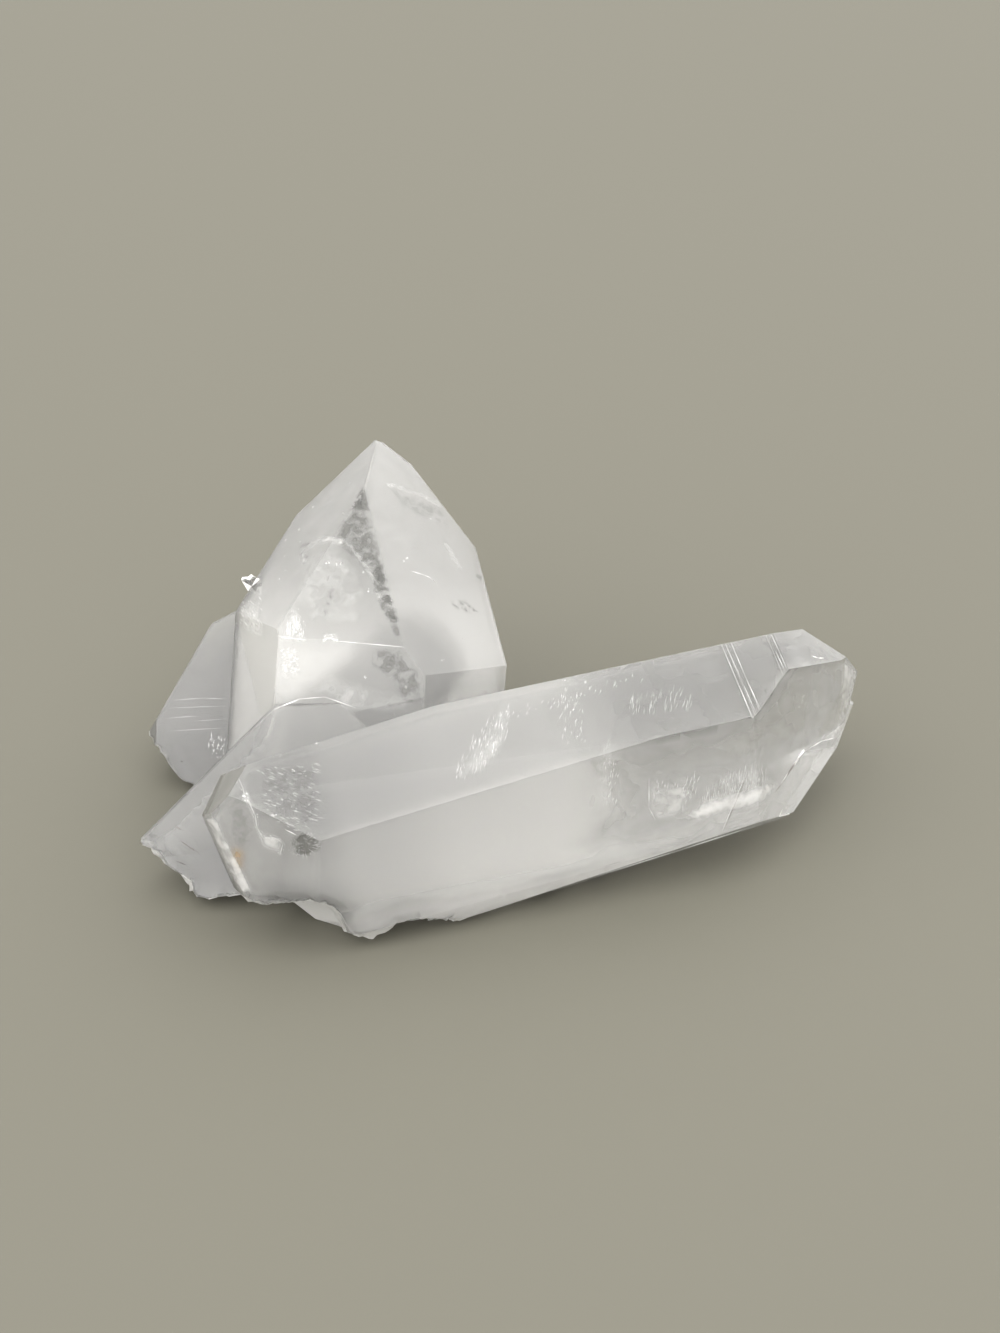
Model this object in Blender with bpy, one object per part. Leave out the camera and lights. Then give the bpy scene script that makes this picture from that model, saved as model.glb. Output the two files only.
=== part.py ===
"""A cluster of grown-together quartz crystals, as one solid, standing on its broken root.

World axes: +X along the long lying crystal, +Y to the back, +Z up, origin under the middle of the whole
cluster's box. Sizes are in millimetres here and are turned into metres once, when a mesh is made.
Directions are given by a heading, from +X towards +Y, and a rise above the level, both in degrees.
"""
import math

import bmesh
import bpy
from mathutils import Matrix, Vector, noise

# Sizes in millimetres, angles in degrees
MM = 0.001
CAP_TILT = 51.8  # between a crystal's long axis and the normal of a face of its point, fixed for quartz
BLANK = 160.0  # half side of the block that a crystal is cut from
WELD = 0.02  # corners closer than this are one

# Upright point: a stout six-sided prism that leans back. Sides count from the front one, to the right.
POINT_FOOT = (-24.3, -7.8, 0.0)
POINT_HEADING = 79.7
POINT_RISE = 64.8
POINT_TWIST = -7.6
POINT_SIDES = (19.1, 19.9, 20.6, 19.5, 19.9, 20.6)
POINT_CAPS = (57.2, 53.9, 72.8, 79.1, 75.2, 60.1)
POINT_TAIL = 12.0
POINT_CHIP_PLACE = (-21.1, 29.8, 52.9)  # the very top is knocked off here
POINT_CHIP_HEADING = 20.0
POINT_CHIP_RISE = 68.0

# Lying crystal: sides count from the front one, downwards and round the back
LYING_MIDDLE = (0.0, -19.1, 15.2)
LYING_HEADING = 17.0
LYING_RISE = 3.0
LYING_TWIST = 82.0
LYING_SIDES = (16.0, 20.0, 13.4, 16.0, 14.4, 17.5)
LYING_CAPS = (59.6, 67.0, 88.0, 84.0, 73.9, 69.7)
LYING_TAIL = 60.0
# Narrow faces along the far edge of its tip: the upper corner, the strip below it, and the back
CORNER_PLACE = (57.7, 1.4, 26.4)
CORNER_HEADING = -25.7
CORNER_RISE = 7.9
STRIP_PLACE = (58.2, 1.0, 21.8)
STRIP_HEADING = -28.4
STRIP_RISE = -3.2
TIP_BACK_PLACE = (61.4, 7.1, 20.1)
TIP_BACK_HEADING = 51.5
TIP_BACK_RISE = -18.0
# Its lower front side, which tapers towards the tip, and the thin bevel above it
UNDER_PLACE = (41.2, -24.4, 10.7)
UNDER_HEADING = -62.7
UNDER_RISE = -46.8
BEVEL_PLACE = (37.0, -25.7, 9.9)
BEVEL_HEADING = -70.2
BEVEL_RISE = -21.8
# Worn strip along its upper front ridge, wider to the left
RIDGE_PLACE = (23.5, -26.8, 29.3)
RIDGE_HEADING = -78.5
RIDGE_RISE = 37.7
# Faces of its left end, each through three corners
LEFT_FACE = ((-28.5, -43.0, 24.5), (-42.0, -43.0, 15.0), (-45.5, -41.0, 25.0))
LEFT_STRIP = ((-42.0, -43.0, 15.0), (-45.5, -41.0, 25.0), (-47.0, -38.0, 21.5))
LEFT_CROWN = ((-45.5, -41.0, 25.0), (-40.0, -36.0, 30.5), (-44.0, -30.0, 25.0))
LEFT_BACK_PLACE = (-46.9, -38.0, 21.4)
LEFT_BACK_HEADING = 163.0
LEFT_BACK_RISE = -24.0
SHOULDER = ((-9.5, -22.5, 33.5), (-37.5, -34.0, 30.5), (-25.0, -15.0, 22.0))
# Growth ledges across its upper side: how far along each starts and how far it drops
LEDGES = ((39.0, 0.2), (39.7, 0.35), (40.8, 0.5), (47.0, 0.7))
# A smaller crystal grown nearly parallel to it, low on the tip; its face stands proud at the far end only
SHARD_FACE_PLACE = (58.2, -2.6, 12.4)
SHARD_FACE_HEADING = -37.0
SHARD_FACE_RISE = 8.0
SHARD_FRONT = 64.0
SHARD_SIDE = 1.4
SHARD_CAP = 52.8
SHARD_START = 37.0
SHARD_SHY = 0.15  # its long sides stay this far inside those of the lying crystal

# Front left crystal, leaning up to the right
LEANER_FOOT = (-50.5, -29.0, 3.0)
LEANER_HEADING = 29.0
LEANER_RISE = 36.0
LEANER_TWIST = 47.0
LEANER_SIDES = (3.0, 9.5, 9.5, 6.0, 8.3, 10.5)
LEANER_CAPS = (41.5, 42.0, 42.0, 43.0, 43.2, 43.2)
LEANER_WORN_TIP = 40.9
LEANER_TAIL = 12.0

# Back left crystal, nearly parallel to the upright point, with two steep worn faces
BACK_FOOT = (-50.0, 6.0, 0.0)
BACK_HEADING = 80.0
BACK_RISE = 66.0
BACK_TWIST = -7.0
BACK_SIDES = (7.0, 12.0, 12.0, 10.0, 8.0, 11.6)
BACK_CAPS = (60.0, 60.0, 60.0, 60.0, 60.0, 60.0)
BACK_TAIL = 12.0
BACK_SLOPE_PLACE = (-60.1, 5.0, 10.5)
BACK_SLOPE_HEADING = 168.0
BACK_SLOPE_RISE = 28.0
BACK_TOP_PLACE = (-49.9, 12.0, 26.7)
BACK_TOP_HEADING = 133.0
BACK_TOP_RISE = 48.0

# Splinter behind the upright point's left edge
SPLINTER = (
    (-43.1, 13.0, 32.9), (-44.1, 13.0, 35.0), (-43.9, 13.0, 35.7), (-43.0, 13.0, 36.1), (-41.5, 13.0, 35.6),
    (-38.0, 13.0, 33.0), (-39.5, 13.0, 29.5), (-42.6, 16.5, 34.0), (-38.0, 18.0, 31.0), (-40.5, 16.0, 29.0),
)
# Root between the crystals, and a small piece that shows under the lying one
ROOT = (
    (-28.0, -37.0, -1.0), (-16.0, -37.0, -1.0), (2.0, -30.0, -1.0), (24.0, -20.0, -1.0), (8.0, -4.0, -1.0),
    (-26.0, -10.0, -1.0), (-34.0, -20.0, 6.0), (-20.0, 10.0, 10.0), (26.0, -22.0, 12.0), (-30.0, -34.0, 12.0),
)
SIDE_LUMP = (
    (-34.0, -34.0, 2.4), (-31.8, -35.0, 1.2), (-30.1, -36.0, 0.2), (-27.9, -37.0, 0.6), (-25.6, -38.0, 0.1),
    (-25.0, -39.0, 1.7), (-24.6, -38.6, 7.0), (-33.6, -33.6, 7.0), (-30.2, -36.6, 6.0), (-30.0, -27.0, -1.0),
    (-24.0, -30.0, -1.0), (-34.0, -28.0, 5.0),
)

# Broken surfaces: a place on each, the way into the stone there, and half its size
LEANER_END_BREAK = ((-51.1, -29.4, 2.4), (0.71, 0.35, 0.62), 15.0)
LEANER_UNDER_BREAK = ((-42.0, -33.2, 2.7), (0.0, 0.36, 0.93), 15.0)
BACK_BREAK = ((-57.2, 2.0, 5.6), (0.80, 0.30, 0.52), 15.0)
BREAK_CELL = 1.6
BREAK_DEPTH = 40.0
BREAK_RELIEF = 0.8  # the height of the larger hollows and ridges of a break
BREAK_WAVE = 5.5  # and how far apart they are
CHIP_RELIEF = 0.5
CHIP_WAVE = 1.9
# Ragged lower edge of the lying crystal: heights at distances along it
EDGE_LINE = (
    (-60.0, 17.0), (-50.0, 15.5), (-46.4, 10.8), (-44.2, 9.6), (-40.0, 10.4), (-36.0, 11.0), (-33.0, 10.2),
    (-31.6, 8.4), (-30.6, 4.6), (-28.4, 3.4), (-26.6, 2.6), (-25.4, 2.6), (-24.2, 3.6), (-22.0, 4.8),
    (-19.5, 4.2), (-17.8, 4.5), (-16.2, 3.7), (-12.0, 2.4), (-8.8, 2.7), (-6.4, 3.2), (-5.5, 2.1),
    (-3.8, 2.7), (-1.5, 3.1), (1.0, 2.6), (12.0, 0.0), (60.0, -10.0),
)
EDGE_MIDDLE = (-18.0, -11.0)  # the middle of the cut, along the crystal and back from its axis
EDGE_FRONT = -17.7  # how far back from the axis the edge runs
EDGE_TURN = -33.0  # left of this it runs back at an angle
EDGE_TURN_SLOPE = 0.47
EDGE_UNDERCUT = 0.6  # how steeply the broken side falls away under the edge
EDGE_HALF = (36.0, 12.0)
EDGE_CELL = 1.3
EDGE_RELIEF = 0.5
# Underside: flat at the ground where it rests, with hollows between
GROUND_PLACE = (-24.0, -8.0, 0.0)
GROUND_HALF = 42.0
GROUND_CELL = 2.4
GROUND_RELIEF = 2.6
GROUND_WAVE = 9.0
GROUND_CHIP_WAVE = 3.4
REST_SPOTS = ((-21.0, -38.0, 3.0), (0.5, -30.0, 5.0), (-30.0, 6.0, 6.0), (-12.0, 10.0, 6.0))


def direction(heading, rise):
    """The unit vector that points at a heading and a rise."""
    heading, rise = math.radians(heading), math.radians(rise)
    return Vector((math.cos(rise) * math.cos(heading), math.cos(rise) * math.sin(heading), math.sin(rise)))


def axes(heading, rise, twist):
    """A crystal's long axis, the normal of its first side, and the direction a quarter turn round from that."""
    along = direction(heading, rise)
    guide = Vector((0, 0, 1)) if abs(along.z) < 0.8 else Vector((0, -1, 0))
    first = (guide - along * guide.dot(along)).normalized()
    second = along.cross(first)
    turn = math.radians(twist)
    side = math.cos(turn) * first + math.sin(turn) * second
    quarter = math.cos(turn) * second - math.sin(turn) * first
    return along, side, quarter


def side_normal(frame, number):
    """The outward normal of one of the six prism sides."""
    along, side, quarter = frame
    turn = math.radians(60 * number)
    return math.cos(turn) * side + math.sin(turn) * quarter


def cap_normal(frame, number):
    """The outward normal of the sloping face above a prism side."""
    tilt = math.radians(CAP_TILT)
    return math.cos(tilt) * frame[0] + math.sin(tilt) * side_normal(frame, number)


def through(corners, inside):
    """The plane through three corners, its normal turned away from a point that stays."""
    first, second, third = (Vector(corner) for corner in corners)
    normal = (second - first).cross(third - first).normalized()
    if normal.dot(Vector(inside) - first) > 0:
        normal.negate()
    return first, normal


def new_piece(name, shape):
    """Turns a bmesh into an object."""
    bmesh.ops.recalc_face_normals(shape, faces=shape.faces)
    mesh = bpy.data.meshes.new(name)
    shape.to_mesh(mesh)
    shape.free()
    piece = bpy.data.objects.new(name, mesh)
    bpy.context.scene.collection.objects.link(piece)
    return piece


def cut_from_block(name, planes, middle):
    """A convex solid: a block at middle, cut by each plane, given as a point on it and its outward normal."""
    shape = bmesh.new()
    bmesh.ops.create_cube(shape, size=2 * BLANK * MM, matrix=Matrix.Translation(Vector(middle) * MM))
    for point, normal in planes:
        geometry = shape.verts[:] + shape.edges[:] + shape.faces[:]
        cut = bmesh.ops.bisect_plane(
            shape, geom=geometry, dist=1e-7, plane_co=Vector(point) * MM, plane_no=normal, clear_outer=True
        )
        rim = [item for item in cut["geom_cut"] if isinstance(item, bmesh.types.BMEdge)]
        if rim:
            bmesh.ops.edgenet_fill(shape, edges=rim)
    return new_piece(name, shape)


def crystal(name, foot, frame, sides, caps, tail, extra=()):
    """A quartz crystal with its six sides and six cap faces at their own distances, and a flat tail end."""
    foot = Vector(foot)
    along = frame[0]
    planes = []
    for number in range(6):
        normal = side_normal(frame, number)
        planes.append((foot + sides[number] * normal, normal))
        planes.append((foot + caps[number] * along, cap_normal(frame, number)))
    planes.append((foot - tail * along, -along))
    planes.extend(extra)
    return cut_from_block(name, planes, foot)


def chunk(name, corners):
    """An angular lump: the convex solid over a few corners."""
    shape = bmesh.new()
    for corner in corners:
        shape.verts.new(Vector(corner) * MM)
    found = bmesh.ops.convex_hull(shape, input=shape.verts[:])
    spare = [item for item in found["geom_interior"] if isinstance(item, bmesh.types.BMVert)]
    bmesh.ops.delete(shape, geom=spare, context="VERTS")
    return new_piece(name, shape)


def rough_block(name, place, into, heading, half, cell, depth, relief):
    """A cutter whose face towards the stone is rough: relief gives the height over that face at two coordinates."""
    across, up = (max(2, round(2 * size / cell)) for size in half)
    shape = bmesh.new()
    bmesh.ops.create_grid(shape, x_segments=across, y_segments=up, size=1.0)
    for vertex in shape.verts:
        x, y = vertex.co.x * half[0], vertex.co.y * half[1]
        vertex.co = Vector((x, y, relief(x, y))) * MM
    bmesh.ops.triangulate(shape, faces=shape.faces)
    rim = [edge for edge in shape.edges if edge.is_boundary]
    walls = bmesh.ops.extrude_edge_only(shape, edges=rim)
    for item in walls["geom"]:
        if isinstance(item, bmesh.types.BMVert):
            item.co.z = -depth * MM
    bottom = [edge for edge in shape.edges if edge.is_boundary]
    bmesh.ops.edgenet_fill(shape, edges=bottom)
    turn = Vector((0, 0, 1)).rotation_difference(Vector(into).normalized()).to_matrix().to_4x4()
    turn = turn @ Matrix.Rotation(math.radians(heading), 4, "Z")
    bmesh.ops.transform(shape, matrix=Matrix.Translation(Vector(place) * MM) @ turn, verts=shape.verts)
    return new_piece(name, shape)


def combine(target, other, operation):
    """Adds another piece to the target, or cuts it away, with a Boolean modifier, then joins doubled corners."""
    step = target.modifiers.new(other.name, "BOOLEAN")
    step.operation = operation
    step.solver = "EXACT"
    step.object = other
    weld = target.modifiers.new(other.name + "_weld", "WELD")
    weld.merge_threshold = WELD * MM
    other.hide_render = True
    other.display_type = "WIRE"


def break_relief(seed):
    """Hollows and sharp small ridges of a broken face, different for each seed."""

    def height(across, up):
        large = noise.noise(Vector((across / BREAK_WAVE, up / BREAK_WAVE, seed)))
        small = noise.noise(Vector((across / CHIP_WAVE, up / CHIP_WAVE, seed + 7.3)))
        return 2 * BREAK_RELIEF * large + 2 * CHIP_RELIEF * small

    return height


def edge_relief(along, back):
    """The broken side under the lying crystal's ragged lower edge, falling away to the back."""
    along += EDGE_MIDDLE[0]
    back += EDGE_MIDDLE[1]
    for (start, low), (end, high) in zip(EDGE_LINE, EDGE_LINE[1:]):
        if start <= along <= end:
            height = low + (high - low) * (along - start) / (end - start)
            break
    front = EDGE_FRONT + EDGE_TURN_SLOPE * max(0.0, EDGE_TURN - along)
    behind = max(0.0, back - front)
    chips = noise.noise(Vector((along / CHIP_WAVE, back / CHIP_WAVE, 5.2)))
    return height - EDGE_UNDERCUT * behind + 2 * EDGE_RELIEF * chips * min(1.0, behind)


def ground_relief(across, up):
    """The underside over the ground: level where it rests, raised in hollows elsewhere."""
    x = across + GROUND_PLACE[0]
    y = up + GROUND_PLACE[1]
    for spot_x, spot_y, radius in REST_SPOTS:
        if math.hypot(x - spot_x, y - spot_y) < radius:
            return 0.0
    value = noise.noise(Vector((x / GROUND_WAVE, y / GROUND_WAVE, 4.1)))
    value += 0.5 * noise.noise(Vector((x / GROUND_CHIP_WAVE, y / GROUND_CHIP_WAVE, 9.2)))
    return max(0.0, 2 * GROUND_RELIEF * value)


def broken(body, name, place, seed):
    """Cuts a rough break across a body."""
    middle, into, half = place
    size = (half, half)
    cutter = rough_block(name, middle, into, 0.0, size, BREAK_CELL, BREAK_DEPTH, break_relief(seed))
    combine(body, cutter, "DIFFERENCE")


def upright_point():
    frame = axes(POINT_HEADING, POINT_RISE, POINT_TWIST)
    chip = (POINT_CHIP_PLACE, direction(POINT_CHIP_HEADING, POINT_CHIP_RISE))
    return crystal("upright", POINT_FOOT, frame, POINT_SIDES, POINT_CAPS, POINT_TAIL, [chip])


def lying_crystal():
    frame = axes(LYING_HEADING, LYING_RISE, LYING_TWIST)
    extra = [
        (CORNER_PLACE, direction(CORNER_HEADING, CORNER_RISE)),
        (STRIP_PLACE, direction(STRIP_HEADING, STRIP_RISE)),
        (TIP_BACK_PLACE, direction(TIP_BACK_HEADING, TIP_BACK_RISE)),
        (UNDER_PLACE, direction(UNDER_HEADING, UNDER_RISE)),
        (BEVEL_PLACE, direction(BEVEL_HEADING, BEVEL_RISE)),
        (RIDGE_PLACE, direction(RIDGE_HEADING, RIDGE_RISE)),
        (LEFT_BACK_PLACE, direction(LEFT_BACK_HEADING, LEFT_BACK_RISE)),
    ]
    for corners in (LEFT_FACE, LEFT_STRIP, LEFT_CROWN, SHOULDER):
        extra.append(through(corners, LYING_MIDDLE))
    body = crystal("lying", LYING_MIDDLE, frame, LYING_SIDES, LYING_CAPS, LYING_TAIL, extra)
    middle = Vector(LYING_MIDDLE)
    upper = side_normal(frame, 5)
    for number, (start, drop) in enumerate(LEDGES):
        planes = [
            (middle + start * frame[0], -frame[0]),
            (middle + (LYING_SIDES[5] - drop) * upper, -upper),
        ]
        ledge = cut_from_block(f"ledge_{number + 1}", planes, middle + 60 * frame[0])
        combine(body, ledge, "DIFFERENCE")
    combine(body, chunk("root", ROOT), "UNION")
    place = Vector((middle.x, middle.y, 0))
    place += EDGE_MIDDLE[0] * direction(LYING_HEADING, 0) + EDGE_MIDDLE[1] * direction(LYING_HEADING + 90, 0)
    up = (0, 0, 1)
    edge = rough_block("edge", place, up, LYING_HEADING, EDGE_HALF, EDGE_CELL, BREAK_DEPTH, edge_relief)
    combine(body, edge, "DIFFERENCE")
    return body


def tip_shard():
    frame = axes(LYING_HEADING, LYING_RISE, LYING_TWIST)
    sides = tuple(side - SHARD_SHY for side in LYING_SIDES[:5]) + (SHARD_SIDE,)
    caps = (SHARD_FRONT,) + LYING_CAPS[1:5] + (SHARD_CAP,)
    inner = Vector(UNDER_PLACE) + SHARD_SHY * Vector((0, 0, 1))
    extra = [
        (SHARD_FACE_PLACE, direction(SHARD_FACE_HEADING, SHARD_FACE_RISE)),
        (inner, direction(UNDER_HEADING, UNDER_RISE)),
    ]
    return crystal("shard", LYING_MIDDLE, frame, sides, caps, -SHARD_START, extra)


def leaning_crystal():
    frame = axes(LEANER_HEADING, LEANER_RISE, LEANER_TWIST)
    worn = (Vector(LEANER_FOOT) + LEANER_WORN_TIP * frame[0], frame[0])
    body = crystal("leaner", LEANER_FOOT, frame, LEANER_SIDES, LEANER_CAPS, LEANER_TAIL, [worn])
    broken(body, "leaner_end_break", LEANER_END_BREAK, 2.0)
    broken(body, "leaner_under_break", LEANER_UNDER_BREAK, 3.0)
    return body


def back_crystal():
    frame = axes(BACK_HEADING, BACK_RISE, BACK_TWIST)
    extra = [
        (BACK_SLOPE_PLACE, direction(BACK_SLOPE_HEADING, BACK_SLOPE_RISE)),
        (BACK_TOP_PLACE, direction(BACK_TOP_HEADING, BACK_TOP_RISE)),
    ]
    body = crystal("back", BACK_FOOT, frame, BACK_SIDES, BACK_CAPS, BACK_TAIL, extra)
    broken(body, "back_break", BACK_BREAK, 4.0)
    return body


def clear_quartz():
    """The stone's own colour and gloss."""
    material = bpy.data.materials.new("clear_quartz")
    material.use_nodes = True
    shader = material.node_tree.nodes["Principled BSDF"]
    shader.inputs["Base Color"].default_value = (0.86, 0.86, 0.84, 1.0)
    shader.inputs["Roughness"].default_value = 0.05
    shader.inputs["IOR"].default_value = 1.544
    shader.inputs["Transmission Weight"].default_value = 0.8
    return material


def settle(target):
    """Applies the target's modifiers, and moves the result so that the origin is under the middle of its box."""
    view = bpy.context.evaluated_depsgraph_get()
    shape = bmesh.new()
    shape.from_mesh(target.evaluated_get(view).to_mesh())
    bmesh.ops.remove_doubles(shape, verts=shape.verts, dist=WELD * MM)
    bmesh.ops.dissolve_degenerate(shape, edges=shape.edges, dist=WELD * MM)
    bmesh.ops.triangulate(shape, faces=shape.faces)
    middle = [0.0, 0.0, 0.0]
    for axis in range(2):
        places = [vertex.co[axis] for vertex in shape.verts]
        middle[axis] = (min(places) + max(places)) / 2
    bmesh.ops.translate(shape, verts=shape.verts, vec=-Vector(middle))
    print("middle of the box", [round(value / MM, 3) for value in middle])
    cluster = new_piece("quartz_cluster", shape)
    for old in list(bpy.data.objects):
        if old != cluster:
            bpy.data.objects.remove(old, do_unlink=True)
    cluster.data.materials.append(clear_quartz())
    return cluster


def main():
    for old in list(bpy.data.objects):
        bpy.data.objects.remove(old, do_unlink=True)
    stone = upright_point()
    grown = [
        lying_crystal(),
        tip_shard(),
        leaning_crystal(),
        back_crystal(),
        chunk("splinter", SPLINTER),
        chunk("side_lump", SIDE_LUMP),
    ]
    for piece in grown:
        combine(stone, piece, "UNION")
    size = (GROUND_HALF, GROUND_HALF)
    under = rough_block("ground", GROUND_PLACE, (0, 0, 1), 0.0, size, GROUND_CELL, BREAK_DEPTH, ground_relief)
    combine(stone, under, "DIFFERENCE")
    level = cut_from_block("level", [((0, 0, 0), Vector((0, 0, 1)))], (0, 0, 0))
    combine(stone, level, "DIFFERENCE")
    settle(stone)


main()
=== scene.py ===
# %% [markdown]
# # A quartz cluster
#
# This notebook dresses a solid model of a natural quartz cluster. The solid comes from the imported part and
# stays the shape that everything follows. What is added here is what makes stone look like quartz: glassy
# faces with thin worn edges, rough white breaks, and the milky clouds, veils and cracks that hang inside the
# clear crystal. The stone's own lengths are in millimetres, and MM turns them into metres.

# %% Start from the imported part
import math
import random

import bmesh
import bpy
import numpy as np
from mathutils import Matrix, Vector, noise
from mathutils.bvhtree import BVHTree


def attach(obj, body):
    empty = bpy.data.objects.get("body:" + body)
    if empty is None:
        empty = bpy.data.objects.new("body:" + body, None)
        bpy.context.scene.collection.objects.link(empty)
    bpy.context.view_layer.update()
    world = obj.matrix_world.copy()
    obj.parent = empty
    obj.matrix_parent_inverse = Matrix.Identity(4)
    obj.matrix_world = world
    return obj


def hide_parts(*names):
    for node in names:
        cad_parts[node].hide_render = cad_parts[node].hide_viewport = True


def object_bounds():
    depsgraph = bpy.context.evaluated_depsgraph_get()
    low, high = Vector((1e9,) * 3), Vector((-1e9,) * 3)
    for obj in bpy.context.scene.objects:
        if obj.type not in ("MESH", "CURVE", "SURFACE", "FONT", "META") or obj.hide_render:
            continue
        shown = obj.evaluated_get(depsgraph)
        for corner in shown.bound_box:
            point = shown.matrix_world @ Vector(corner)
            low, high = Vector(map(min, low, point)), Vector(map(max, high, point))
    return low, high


MM = 0.001
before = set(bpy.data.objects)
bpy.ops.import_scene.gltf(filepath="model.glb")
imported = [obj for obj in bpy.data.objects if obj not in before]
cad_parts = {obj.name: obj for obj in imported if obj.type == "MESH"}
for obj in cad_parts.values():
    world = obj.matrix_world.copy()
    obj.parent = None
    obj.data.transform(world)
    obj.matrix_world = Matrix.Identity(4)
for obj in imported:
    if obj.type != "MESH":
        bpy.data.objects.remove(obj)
cad_box = [list(corner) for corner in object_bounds()]
cad_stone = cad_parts["quartz_cluster"]
print("the packed stone spans", [round(b - a, 4) for a, b in zip(*cad_box)], "m")


# %% A helper for new objects
def new_object(name, data):
    made = bpy.data.objects.new(name, data)
    bpy.context.scene.collection.objects.link(made)
    return made


# %% [markdown]
# ## The camera
#
# The photograph looks down at the cluster at about 33 degrees, and a long lens half a metre away suits it. A
# long lens keeps the crystal edges nearly parallel, so it is used here rather than a wide one close by.

# %% Camera
AIM = Vector((-0.472, 5.881, 26.0)) * MM  # the place in the middle of the picture
DISTANCE = 0.5
RISE = math.radians(33)
LENS = 80
SENSOR = 36
PHOTO_SIZE = (1000, 1333)

camera_data = bpy.data.cameras.new("camera")
camera_data.lens = LENS
camera_data.sensor_width = SENSOR
camera = new_object("camera", camera_data)
camera.location = AIM + DISTANCE * Vector((0, -math.cos(RISE), math.sin(RISE)))
camera.rotation_euler = (math.pi / 2 - RISE, 0, 0)
bpy.context.scene.camera = camera
print("the camera stands at", [round(value, 3) for value in camera.location])

# %% [markdown]
# ## Floor and light
#
# Clear stone shows mostly what stands round it, so the surroundings are part of its look. A pale floor fills
# the clear parts with a soft grey. Area lamps would leave hard bright rectangles in the glass, so the whole
# light comes from the sky of the studio instead. It has a bright ceiling and three soft glows: a wide window
# at the back right, which lights the right-hand faces and throws the shadow to the lower left as in the
# photograph, a low one behind the camera for the faces that look this way, and a weaker one at the left.

# %% Floor
FLOOR_HALF = 3.0
FLOOR_COLOUR = (0.110, 0.106, 0.084, 1)
FLOOR_ROUGHNESS = 0.8

floor_mesh = bpy.data.meshes.new("floor")
corners = [(x * FLOOR_HALF, y * FLOOR_HALF, 0) for x, y in ((-1, -1), (1, -1), (1, 1), (-1, 1))]
floor_mesh.from_pydata(corners, [], [(0, 1, 2, 3)])
floor = new_object("floor", floor_mesh)
floor_paint = bpy.data.materials.new("pale_floor")
floor_paint.use_nodes = True
shader = floor_paint.node_tree.nodes["Principled BSDF"]
shader.inputs["Base Color"].default_value = FLOOR_COLOUR
shader.inputs["Roughness"].default_value = FLOOR_ROUGHNESS
floor_mesh.materials.append(floor_paint)
print("the floor is", 2 * FLOOR_HALF, "m wide")


# %% Small helpers for nodes
def add(tree, kind, inputs=(), **settings):
    """A new node, its settings, and what goes into its inputs: a value, or another node's output."""
    made = tree.nodes.new(kind)
    for setting, value in settings.items():
        setattr(made, setting, value)
    for socket, value in dict(inputs).items():
        if isinstance(value, bpy.types.NodeSocket):
            tree.links.new(value, made.inputs[socket])
        else:
            made.inputs[socket].default_value = value
    return made


def figure(tree, operation, first, second=0.0, **settings):
    """The result of a sum worked out by a node."""
    settings["operation"] = operation
    return add(tree, "ShaderNodeMath", {0: first, 1: second}, **settings).outputs["Value"]


def spread(tree, value, low, high, to_low=0.0, to_high=1.0):
    """Stretches a value's range, with soft ends."""
    inputs = {"Value": value, "From Min": low, "From Max": high, "To Min": to_low, "To Max": to_high}
    return add(tree, "ShaderNodeMapRange", inputs, interpolation_type="SMOOTHSTEP").outputs["Result"]


# %% Light from the studio's sky
SKY_COLOUR = (1.0, 0.985, 0.96, 1)
WALLS = 0.8  # how bright the sky is level with the stone
CEILING = 0.5  # how much brighter it is overhead
CEILING_START = 0.1  # how high on the round sky the ceiling begins; straight up is 1
# Each glow: the way to it, the cosines of the angles at which it begins and is full, and how bright it is
GLOWS = (
    ((0.52, 0.42, 0.74), (0.40, 0.97), 1.7),  # the window at the back right
    ((-0.30, -0.88, 0.28), (0.10, 0.85), 2.4),  # behind the camera
    ((-0.90, -0.20, 0.40), (0.30, 0.95), 0.7),  # at the left
)

world = bpy.data.worlds.new("studio")
world.use_nodes = True
tree = world.node_tree
way = add(tree, "ShaderNodeTexCoord").outputs["Generated"]
height = add(tree, "ShaderNodeSeparateXYZ", {"Vector": way}).outputs["Z"]
glow = spread(tree, height, CEILING_START, 1.0, WALLS, WALLS + CEILING)
for heading, width, strength in GLOWS:
    heading = Vector(heading).normalized()
    aim = add(tree, "ShaderNodeVectorMath", {0: way, 1: heading}, operation="DOT_PRODUCT").outputs["Value"]
    glow = figure(tree, "ADD", glow, spread(tree, aim, *width, 0.0, strength))
tree.nodes["Background"].inputs["Color"].default_value = SKY_COLOUR
tree.links.new(glow, tree.nodes["Background"].inputs["Strength"])
bpy.context.scene.world = world
print("the sky has", len(GLOWS), "glows")

# %% [markdown]
# Light has to cross many faces and thin veils inside the stone. With too few bounces those paths end early
# and the middle of the crystal turns dark, so the limits are raised. The Standard view shows the white milk
# as bright as it is lit, where a film-like view would grey it.

# %% Bounces
CLEAR_BOUNCES = 10
MIRROR_BOUNCES = 3
DULL_BOUNCES = 4

cycles = bpy.context.scene.cycles
cycles.max_bounces = CLEAR_BOUNCES
cycles.transmission_bounces = CLEAR_BOUNCES
cycles.transparent_max_bounces = 2 * CLEAR_BOUNCES
cycles.glossy_bounces = MIRROR_BOUNCES
cycles.diffuse_bounces = DULL_BOUNCES
bpy.context.scene.view_settings.view_transform = "Standard"
print("light may bounce", CLEAR_BOUNCES, "times")

# %% [markdown]
# ## The stone's surface
#
# The solid has perfectly sharp edges. Real quartz edges are rubbed to a hair's breadth, and that narrow strip
# is what catches the light. A bevel modifier over the whole solid would also round every ridge of the rough
# breaks, so the mesh is worked directly: flat faces are joined first, the rough breaks get finer crumbs, and
# then only the edges between large faces are bevelled.

# %% Read the solid and join its flat faces
SAME_PLACE = 2e-6  # points closer than this, in metres, are one
FLAT_ANGLE = math.radians(0.4)
ROUGH_REACH = 4.3 * MM  # a face whose longest edge is shorter belongs to a break

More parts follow.
